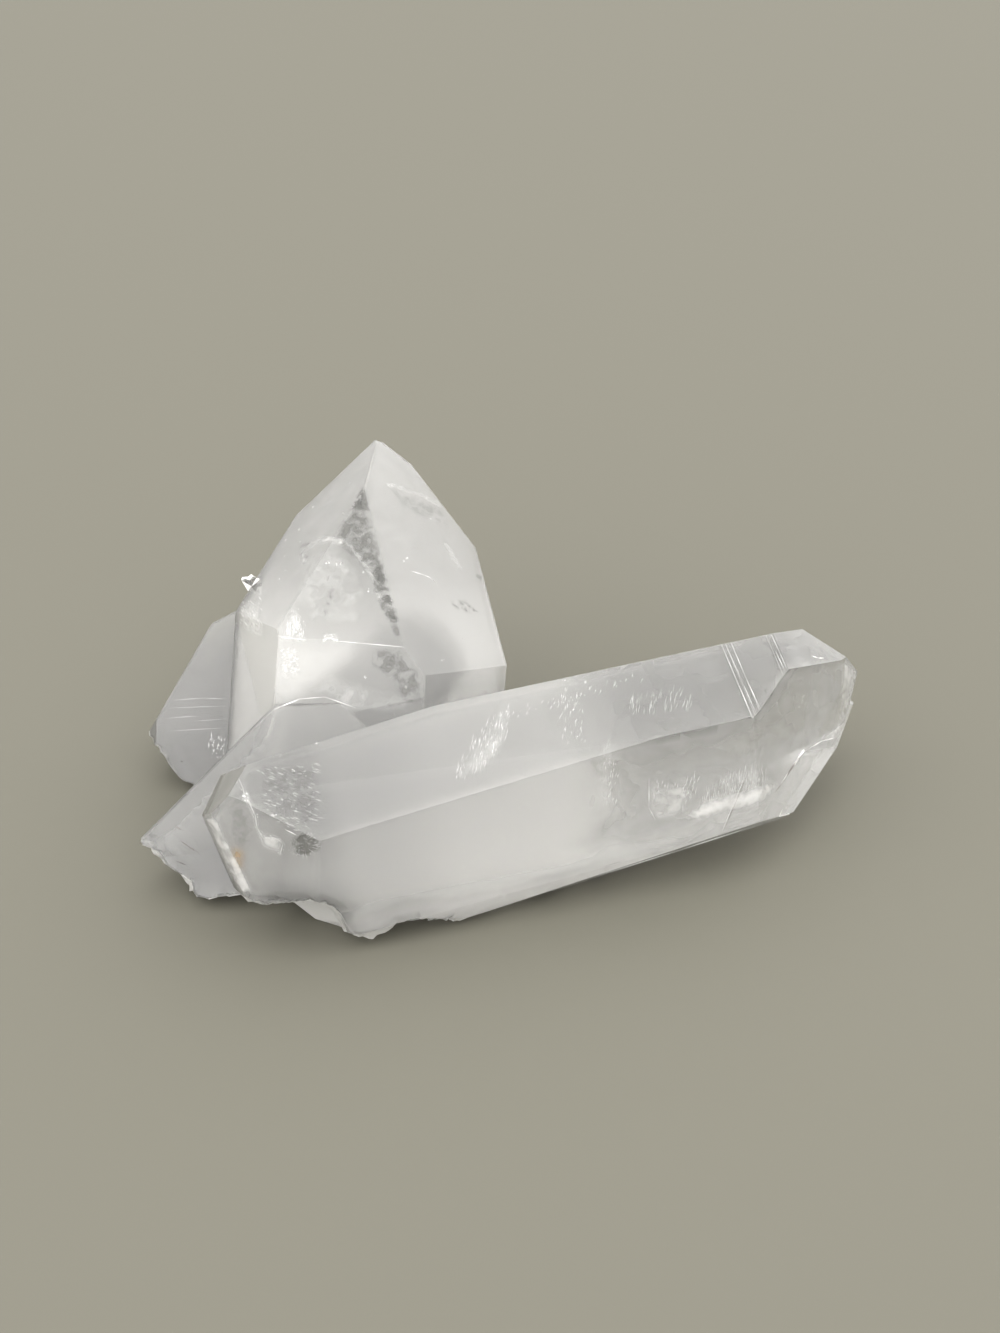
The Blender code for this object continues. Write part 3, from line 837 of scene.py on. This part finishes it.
# %% Grey veils of painted shade and a spot of iron stain
# The grey of the painted shade that stands for the darker depth of the clear stone
PAINTED_SHADE_COLOUR = (0.27, 0.27, 0.255, 1)
PAINTED_SHADE_VEILS = (
    # painted shade: the dark window under the upright crystal's point, and the dark spots that run down from
    # it
    (((365, 484), (351, 509), (370, 511)), 0.75, 1.5, 0.25),
    (((364, 484), (344, 514), (332, 541), (348, 556), (364, 570), (386, 574), (375, 530)), 0.5, 9, 0.25),
    (((367, 560), (382, 556), (387, 578), (397, 614), (402, 646), (396, 638), (386, 618), (376, 600)),
     0.55, 4, 0.25),
    (((375, 571), (384, 570), (386, 580), (378, 583)), 0.6, 2, 0.2),
    (((380, 592), (390, 594), (394, 605), (383, 604)), 0.7, 2, 0.2),
    (((388, 607), (396, 608), (399, 620), (390, 619)), 0.6, 2, 0.2),
    (((371, 648), (402, 649), (422, 676), (421, 702), (404, 703), (392, 682), (372, 666)), 0.42, 7, 0.25),
    (((301, 545), (312, 538), (309, 556), (303, 570), (299, 557)), 0.3, 3, 0.25),
    (((330, 590), (336, 585), (331, 604), (325, 618), (323, 612)), 0.3, 2, 0.25),
    # faint painted shade on its brightest face
    (((386, 485), (441, 506), (452, 530), (430, 522), (400, 507)), 0.16, 6, 0.25),
    (((450, 599), (466, 601), (479, 611), (476, 615), (460, 611), (450, 605)), 0.4, 3, 0.25),
    (((475, 573), (481, 573), (483, 583), (477, 582)), 0.4, 2, 0.25),
    # painted shade at the left end of the lying crystal
    (((292, 838), (300, 832), (312, 834), (323, 838), (319, 850), (308, 858), (297, 855), (291, 846)),
     0.7, 4, 0.3),
    (((228, 806), (246, 806), (254, 828), (254, 842), (240, 850), (230, 838)), 0.12, 5, 0.3),
    (((262, 765), (314, 764), (320, 790), (316, 826), (285, 826), (262, 806)), 0.18, 8, 0.3),
)
STAIN_COLOUR = (0.62, 0.42, 0.20, 1)
STAIN = ((((229, 848), (238, 843), (247, 852), (246, 867), (236, 875), (229, 862)), 0.55, 9, 0.12),)
painted_shade_paint = milk_finish("veil_painted_shade", PAINTED_SHADE_COLOUR, grain=700, wispiness=2.0)
iron_paint = milk_finish("veil_iron", STAIN_COLOUR, grain=900, wispiness=0.3, through=VEIL_THROUGH)
veils("painted_shade_veils", PAINTED_SHADE_VEILS, painted_shade_paint)
veils("iron_stain", STAIN, iron_paint)

# %% [markdown]
# ## Cracks and streaks
#
# Healed cracks also show as bright threads and short streaks that hang just under the faces, and a few bright
# threads along edges are painted highlights. They are far too thin to be cut from the solid, so each kind is
# one mesh of many thin closed slivers, laid where the photograph shows them, at a depth inside the stone. A
# sliver is
# a spindle: a thin triangle swollen in the middle and drawn out to a point at both ends.

# %% Slivers
SHORTEST = 1e-6  # metres; a shorter sliver isn't made
OVERLAP = 0.12  # how far a thread's slivers reach past their ends, as a share of their length


def sliver(shape, start, end, thickness):
    """A closed spindle from start to end."""
    way = end - start
    if way.length < SHORTEST:
        return
    side = way.orthogonal().normalized() * thickness / 2
    third_turn = Matrix.Rotation(math.tau / 3, 3, way)
    middle = (start + end) / 2
    ends = [shape.verts.new(start), shape.verts.new(end)]
    ring = []
    for number in range(3):
        ring.append(shape.verts.new(middle + side))
        side = third_turn @ side
    for number in range(3):
        pair = ring[number], ring[(number + 1) % 3]
        shape.faces.new((ends[0], pair[1], pair[0]))
        shape.faces.new((ends[1], pair[0], pair[1]))


def thread(shape, points, thickness, way):
    """A chain of spindles along a line of pixels, at one depth."""
    places = [place for place in (look(*point, way) for point in points) if place is not None]
    for start, end in zip(places, places[1:]):
        reach = (end - start) * OVERLAP
        sliver(shape, start - reach, end + reach, thickness * MM)


def scatter(outline, count, dice):
    """Random pixels inside an outline."""
    found = []
    xs, ys = zip(*outline)
    while len(found) < count:
        point = (dice.uniform(min(xs), max(xs)), dice.uniform(min(ys), max(ys)))
        if inside_outline(*point, outline):
            found.append(point)
    return found


# %% A bright finish for cracks
GLINT_GRAIN = 700
SHINIEST = 0.15


def glinting(name, colour, dullest, metallic=0.0):
    """A finish whose roughness wanders from glint to glint."""
    material, tree, shader = new_material(name)
    shader.inputs["Base Color"].default_value = colour
    shader.inputs["Metallic"].default_value = metallic
    glint = speckles(tree, GLINT_GRAIN, 2)
    tree.links.new(spread(tree, glint, *NOISE_MIDDLE, SHINIEST, dullest), shader.inputs["Roughness"])
    return material


fleck_paint = glinting("bright_fleck", (0.99, 0.99, 0.99, 1), dullest=0.5)
print("made the finish", fleck_paint.name)

# %% Streaks
# Each field: its outline, how many streaks, how far they run across and down, how thick, and how deep
STREAK_FIELDS = (
    (((452, 778), (470, 745), (500, 708), (509, 712), (506, 745), (480, 772), (462, 784)),
     80, (3, -11), 0.10, 0.2),
    (((560, 688), (580, 694), (586, 744), (558, 746)), 36, (2, -8), 0.08, 0.2),
    (((700, 800), (722, 782), (745, 772), (770, 776), (768, 794), (735, 802), (706, 812)),
     200, (1, -13), 0.09, 0.25),
    (((678, 806), (684, 786), (698, 782), (694, 800)), 24, (4, -13), 0.12, 0.25),
    (((652, 800), (656, 784), (690, 788), (684, 812), (660, 816)), 40, (1, -9), 0.07, 0.25),
    (((602, 742), (616, 740), (618, 806), (604, 812)), 40, (2, -7), 0.12, 0.3),
    (((255, 764), (316, 762), (318, 826), (290, 832), (262, 812)), 80, (9, 3), 0.12, 0.4),
    (((280, 650), (296, 650), (298, 676), (282, 674)), 60, (3, -3), 0.16, 0.2),
    (((238, 600), (262, 598), (264, 630), (240, 626)), 34, (-4, -6), 0.14, 0.2),
    (((209, 737), (224, 737), (226, 760), (208, 756)), 16, (1, -8), 0.25, 0.2),
    (((505, 712), (640, 676), (642, 684), (508, 722)), 40, (2, -6), 0.08, 0.1),
    (((626, 702), (690, 690), (692, 714), (626, 718)), 60, (2, -12), 0.06, 0.1),
    (((283, 640), (287, 622), (300, 622), (305, 640)), 30, (-2, -12), 0.12, 0.15),
)
LENGTHS, THICKNESSES = (0.35, 1.0), (0.5, 1.2)  # of single streaks, as shares of their field's
SWERVES = (-0.2, 0.2)  # how far a streak turns from the field's way
DIPS = (0, 0.2)  # how much deeper its end lies
LONGEST_STREAK = 4 * MM  # a longer one would run from one face to another behind it
SEED = 7  # the same every time, so what is scattered never moves

dice = random.Random(SEED)
shape = bmesh.new()
for outline, count, (run, fall), thickness, way in STREAK_FIELDS:
    for across, down in scatter(outline, count, dice):
        size = dice.uniform(*LENGTHS)
        turn = dice.uniform(*SWERVES)
        end = (across + size * (run - turn * fall), down + size * (fall + turn * run))
        first, last = look(across, down, way), look(*end, way + dice.uniform(*DIPS))
        if first and last and (last - first).length < LONGEST_STREAK:
            sliver(shape, first, last, thickness * MM * dice.uniform(*THICKNESSES))
finish_piece(shape, "streaks", fleck_paint)

# %% Threads
CRACK = ((238, 778), (242, 786), (245, 797), (250, 804), (255, 815), (257, 828), (263, 838))
# Each thread: its points in the photograph, how thick in millimetres, and how deep
THREADS = (
    # the level crack across the upright crystal
    (((277, 636), (284, 638), (296, 639), (305, 640)), 0.35, 0.2),
    (((323, 640), (330, 638), (337, 641)), 0.35, 0.2),
    (((337, 641), (360, 643), (402, 647)), 0.10, 0.2),
    # the crack at the left end of the lying crystal
    (CRACK, 0.08, 0.1),
    (((263, 838), (275, 838), (283, 843), (280, 855)), 0.08, 0.1),
    (((286, 830), (296, 835)), 0.25, 0.1),
    # short ones
    (((746, 774), (735, 800), (723, 829)), 0.10, 0.1),
    (((812, 656), (818, 658), (824, 658)), 0.35, 0.1),
    (((411, 571), (424, 575), (431, 578), (436, 583)), 0.22, 0.2),
    (((649, 780), (649, 808), (655, 819)), 0.14, 0.3),
    # the growth lines across the lying crystal's upper side
    (((722, 646), (737, 681), (752, 716)), 0.15, 0.0),
    (((726, 645), (741, 679), (755, 711)), 0.11, 0.0),
    (((732, 645), (746, 678), (759, 706)), 0.13, 0.0),
    (((768, 634), (776, 652), (784, 669)), 0.13, 0.0),
    (((771, 634), (779, 651), (786, 667)), 0.10, 0.0),
    # painted highlights: bright lines along the top of the shard, the lying crystal's lower edge and the
    # leaner's upper end
    (((811, 747), (822, 741), (834, 738), (840, 741)), 0.3, 0.0),
    (((532, 895), (600, 875), (680, 850), (742, 830)), 0.2, 0.0),
    (((275, 709), (300, 699), (325, 697), (353, 707)), 0.2, 0.1),
    # the growth lines of the back crystal
    (((176, 700), (204, 698), (224, 699)), 0.05, 0.0),
    (((171, 708), (224, 706)), 0.04, 0.0),
    (((169, 718), (197, 716)), 0.05, 0.0),
    (((196, 721), (225, 719)), 0.04, 0.0),
    (((170, 731), (222, 728)), 0.05, 0.0),
)
shape = bmesh.new()
for points, thickness, way in THREADS:
    thread(shape, points, thickness, way)

# %% Rays round a shell-shaped break
SHELL_SPOT = (303, 844)  # its middle, near the lying crystal's left end
SHELL_RAYS = 14
SHELL_TURN, SHELL_START = 1.2, -0.5  # the rays fan out over this many half turns, from this one
SHELL_FLAT = 0.8  # how much lower than wide the fan is
RAY_STARTS, RAY_ENDS = (7, 12), (13, 20)  # pixels from the middle
RAY_THICKNESS, RAY_DEPTH = 0.05, 0.1

for number in range(SHELL_RAYS):
    angle = math.pi * (SHELL_TURN * (number + dice.uniform(0, 2)) / SHELL_RAYS + SHELL_START)
    start, end = dice.uniform(*RAY_STARTS), dice.uniform(*RAY_ENDS)
    across, down = math.cos(angle), SHELL_FLAT * math.sin(angle)
    ray = [(SHELL_SPOT[0] + reach * across, SHELL_SPOT[1] + reach * down) for reach in (start, end)]
    thread(shape, ray, RAY_THICKNESS, RAY_DEPTH)
finish_piece(shape, "threads", fleck_paint)

# %% [markdown]
# ## Dark needles
#
# A few fine dark grains and lines lie in the front crystal and along the crack beside the shard. Painted on,
# they would lie flat on the face from every side. As thin closed bodies they keep a thickness of their own.

# %% Dark needles and specks
NEEDLE_DARK = (0.10, 0.09, 0.08, 1)
NEEDLE_LIGHT = (0.22, 0.20, 0.18, 1)
NEEDLE_GRAIN = 1200
NEEDLES = (
    (((174, 826), (182, 830)), 0.25, 0.0),
    (((181, 841), (189, 847), (196, 851)), 0.28, 0.0),
    (((176, 861), (186, 865)), 0.2, 0.0),
    (((203, 815), (205, 816)), 0.35, 0.0),
    (((181, 761), (183, 762)), 0.35, 0.0),
    (((775, 793), (782, 783), (787, 776)), 0.25, 0.0),
    (((786, 777), (796, 762), (806, 749)), 0.4, -0.1),
    (((747, 775), (736, 802), (724, 830)), 0.14, 0.1),
)
needle_paint, tree, shader = new_material("dark_needle")
shades = {"Factor": speckles(tree, NEEDLE_GRAIN, 2), "A": NEEDLE_DARK, "B": NEEDLE_LIGHT}
shade = add(tree, "ShaderNodeMix", shades, data_type="RGBA").outputs["Result"]
tree.links.new(shade, shader.inputs["Base Color"])
shape = bmesh.new()
for points, thickness, way in NEEDLES:
    thread(shape, points, thickness, way)
finish_piece(shape, "needles", needle_paint)

# %% [markdown]
# ## Sparkles
#
# A fresh crack is made of many tiny mirrors, each with its own tilt, and those that are turned halfway
# between the window and the camera flash white. One rough sheet would shine evenly, so each sparkle is a tiny
# closed plate, turned that way with some spread.

# %% Sparkles
SPARKLE_WAY = Vector((0.45, -0.25, 0.85))
SPARKLE_SPREAD = 0.35
SPARKLE_DEPTHS = (0.12, 0.24)
PLATE_REACH = (0.5, 1.0)  # how far a plate's corners reach, as shares of half its size
PLATE_HALF = 0.06  # half a plate's thickness, as a share of its size


def plate(shape, middle, normal, size, dice):
    """A tiny closed plate, an uneven diamond, with a given tilt."""
    side = normal.orthogonal().normalized()
    side.rotate(Matrix.Rotation(dice.uniform(0, math.pi), 3, normal))
    other = normal.cross(side)
    ring = []
    for first, second in ((1, 0), (0, 1), (-1, 0), (0, -1)):
        reach = size / 2 * dice.uniform(*PLATE_REACH)
        ring.append(shape.verts.new(middle + reach * (first * side + second * other)))
    tips = [shape.verts.new(middle + half * size * normal) for half in (PLATE_HALF, -PLATE_HALF)]
    for number in range(4):
        shape.faces.new((tips[0], ring[number], ring[(number + 1) % 4]))
        shape.faces.new((tips[1], ring[(number + 1) % 4], ring[number]))


def sparkle(shape, across, down, size):
    middle = look(across, down, dice.uniform(*SPARKLE_DEPTHS))
    if middle is not None:
        tilt = Vector([dice.gauss(0, SPARKLE_SPREAD) for _ in range(3)])
        plate(shape, middle, (SPARKLE_WAY + tilt).normalized(), size * MM, dice)


# %% Single flecks, three plates to each
FLECKS = (
    (299, 529), (300, 542), (312, 507), (286, 541), (285, 555), (286, 571), (280, 578), (328, 562),
    (336, 565), (340, 563), (343, 513), (351, 483), (362, 573), (369, 591), (431, 518), (406, 558),
    (404, 561), (445, 595), (463, 639), (443, 659), (406, 686), (365, 677), (395, 715), (317, 743),
    (236, 660), (280, 756), (303, 753), (294, 771), (282, 800), (318, 744), (574, 709), (577, 736),
    (585, 682), (564, 680), (797, 700), (806, 704),
)
FLECK_PLATES = 3
FLECK_SPREAD = 0.8  # pixels
FLECK_SIZES = (0.25, 0.5)

shape = bmesh.new()
for across, down in FLECKS:
    for turn in range(FLECK_PLATES):
        spot = across + dice.gauss(0, FLECK_SPREAD), down + dice.gauss(0, FLECK_SPREAD)
        sparkle(shape, *spot, dice.uniform(*FLECK_SIZES))
print("laid", len(FLECKS), "flecks")

# %% Patches full of sparkles
# Each patch: its outline, how many sparkles, and how large they are in millimetres
SPARKLES = (
    (((285, 638), (287, 622), (293, 615), (299, 620), (303, 637)), 60, 0.45),
    (((278, 642), (281, 612), (300, 606), (310, 640)), 50, 0.28),
    (((321, 642), (326, 634), (337, 634), (338, 642)), 36, 0.45),
    (((279, 637), (284, 636), (305, 640), (302, 642)), 36, 0.4),
    (((275, 650), (296, 649), (300, 675), (280, 680)), 55, 0.28),
    (((238, 600), (258, 600), (260, 628), (242, 626)), 34, 0.3),
    (band(CRACK, 6), 50, 0.28),
    (band(((263, 838), (275, 838), (283, 844), (280, 855)), 6), 44, 0.28),
    (((242, 793), (248, 793), (248, 801), (243, 801)), 20, 0.5),
    (((209, 737), (224, 736), (225, 759), (211, 758)), 44, 0.45),
    (((285, 850), (318, 826), (324, 832), (300, 860)), 30, 0.3),
    (band(((690, 811), (714, 802), (738, 796), (770, 788)), 7), 40, 0.22),
    (((793, 693), (811, 693), (811, 708), (795, 708)), 22, 0.35),
    (((564, 684), (579, 684), (580, 742), (562, 742)), 22, 0.18),
    (((600, 740), (617, 740), (617, 806), (603, 808)), 26, 0.22),
    (((455, 776), (500, 708), (508, 714), (504, 745), (466, 782)), 50, 0.22),
    (((372, 572), (384, 570), (396, 610), (388, 612)), 20, 0.28),
    (((278, 520), (330, 510), (345, 560), (290, 585)), 26, 0.2),
    (((240, 640), (275, 640), (272, 700), (238, 700)), 34, 0.2),
    (((262, 765), (314, 762), (318, 824), (285, 828), (262, 806)), 70, 0.28),
)
SIZES = (0.4, 1.0)  # of single sparkles, as shares of their patch's

for outline, count, size in SPARKLES:
    for across, down in scatter(outline, count, dice):
        sparkle(shape, across, down, size * dice.uniform(*SIZES))
mirror_paint = glinting("crack_mirror", (0.99, 0.99, 0.985, 1), dullest=0.4, metallic=0.6)
finish_piece(shape, "sparkles", mirror_paint)
